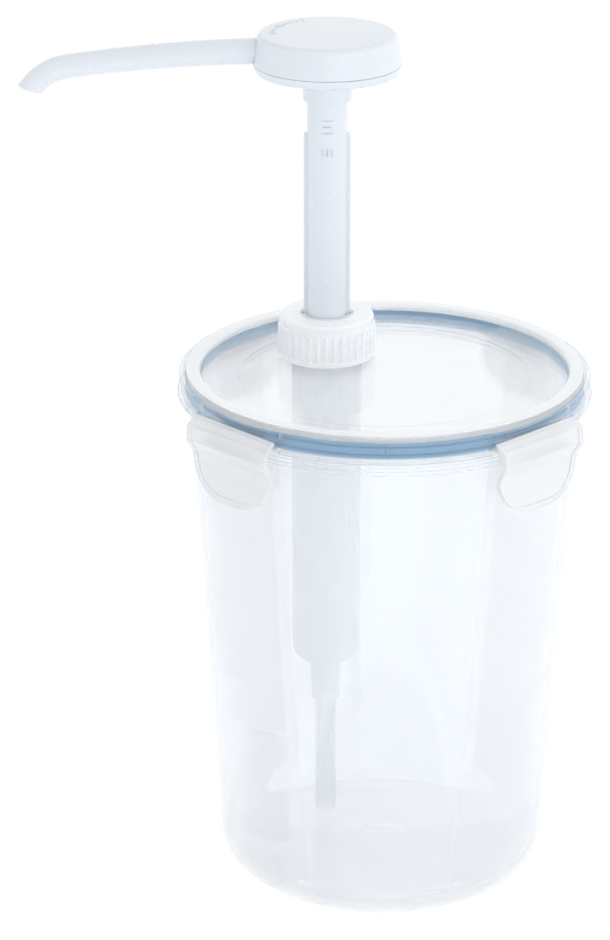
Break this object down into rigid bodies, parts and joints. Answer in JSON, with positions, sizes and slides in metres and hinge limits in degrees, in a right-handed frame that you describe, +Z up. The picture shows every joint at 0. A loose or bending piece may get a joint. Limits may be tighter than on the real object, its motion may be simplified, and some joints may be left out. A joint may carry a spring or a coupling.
{
  "type": "condiment pump dispenser",
  "caption": "Round clear canister with a clip-down lid, soft seal and hinged latches, carrying a long-stroke hand pump with a drooping spout.",
  "frame": {"origin": "middle of the canister's foot, on the surface it stands on", "axes": "+Z up along the canister's axis; the spout points to -X and the front of the canister faces -Y"},
  "size_m": [0.2293, 0.1662, 0.3474],
  "materials": {
    "clear_canister": "clear polypropylene, slightly hazy",
    "clear_lid": "clear glossy polypropylene",
    "blue_silicone": "translucent blue silicone",
    "soft_seal": "soft natural elastomer",
    "milky_plastic": "milky polypropylene",
    "white_plastic": "glossy white polypropylene",
    "clear_tube": "clear flexible tube",
    "spring_steel": "bright stainless wire",
    "ball_steel": "polished stainless"
  },
  "bodies": {
    "canister": {"container": "clear_canister", "lid": "clear_lid", "lid_gasket": "blue_silicone"},
    "pump": {"pump_cylinder": "milky_plastic", "neck_gasket": "soft_seal", "inlet_cage": "white_plastic", "dip_tube": "clear_tube", "return_spring": "spring_steel"},
    "collar": {"collar": "white_plastic"},
    "guide": {"stem_guide": "white_plastic"},
    "plunger": {"stem": "white_plastic", "piston_holder": "white_plastic", "piston_cup": "soft_seal", "piston_retainer": "white_plastic", "spout_head": "white_plastic", "head_cap": "white_plastic"},
    "inlet_ball": {"inlet_ball": "ball_steel"},
    "outlet_ball": {"outlet_ball": "ball_steel"},
    "latch_back_right": {"latch_back_right": "clear_lid"},
    "latch_back_left": {"latch_back_left": "clear_lid"},
    "latch_front_left": {"latch_front_left": "clear_lid"},
    "latch_front_right": {"latch_front_right": "clear_lid"}
  },
  "joints": [
    {"name": "latch_back_right_hinge", "type": "hinge", "parent": "canister", "child": "latch_back_right", "pos_m": [0.05841, 0.05841, 0.2115], "axis": [0.7071, -0.7071, 0], "range_deg": [0, 110]},
    {"name": "latch_back_left_hinge", "type": "hinge", "parent": "canister", "child": "latch_back_left", "pos_m": [-0.05841, 0.05841, 0.2115], "axis": [0.7071, 0.7071, 0], "range_deg": [0, 110]},
    {"name": "latch_front_left_hinge", "type": "hinge", "parent": "canister", "child": "latch_front_left", "pos_m": [-0.05841, -0.05841, 0.2115], "axis": [-0.7071, 0.7071, 0], "range_deg": [0, 110]},
    {"name": "latch_front_right_hinge", "type": "hinge", "parent": "canister", "child": "latch_front_right", "pos_m": [0.05841, -0.05841, 0.2115], "axis": [-0.7071, -0.7071, 0], "range_deg": [0, 110]},
    {"name": "collar_lift", "type": "slide", "parent": "canister", "child": "pump", "axis": [0, 0, 1], "range_m": [0, 0.0042]},
    {"name": "collar_turn", "type": "hinge", "parent": "pump", "child": "collar", "pos_m": [-0.0235, 0.0255, 0.22], "axis": [0, 0, 1], "range_deg": [0, 360]},
    {"name": "spout_swivel", "type": "hinge", "parent": "pump", "child": "guide", "pos_m": [-0.0235, 0.0255, 0.22], "axis": [0, 0, 1], "continuous": true},
    {"name": "pump_stroke", "type": "slide", "parent": "guide", "child": "plunger", "axis": [0, 0, -1], "range_m": [0, 0.085], "stiffness_N_per_m": 150, "springref_m": -0.03, "deforming": ["return_spring"]},
    {"name": "inlet_ball_lift", "type": "slide", "parent": "pump", "child": "inlet_ball", "axis": [0, 0, 1], "range_m": [0, 0.003]},
    {"name": "outlet_ball_lift", "type": "slide", "parent": "plunger", "child": "outlet_ball", "axis": [0, 0, 1], "range_m": [0, 0.003]}
  ],
  "couplings": [
    {"joint": "collar_turn", "follows": "collar_lift", "rad_per_m": 1496}
  ]
}
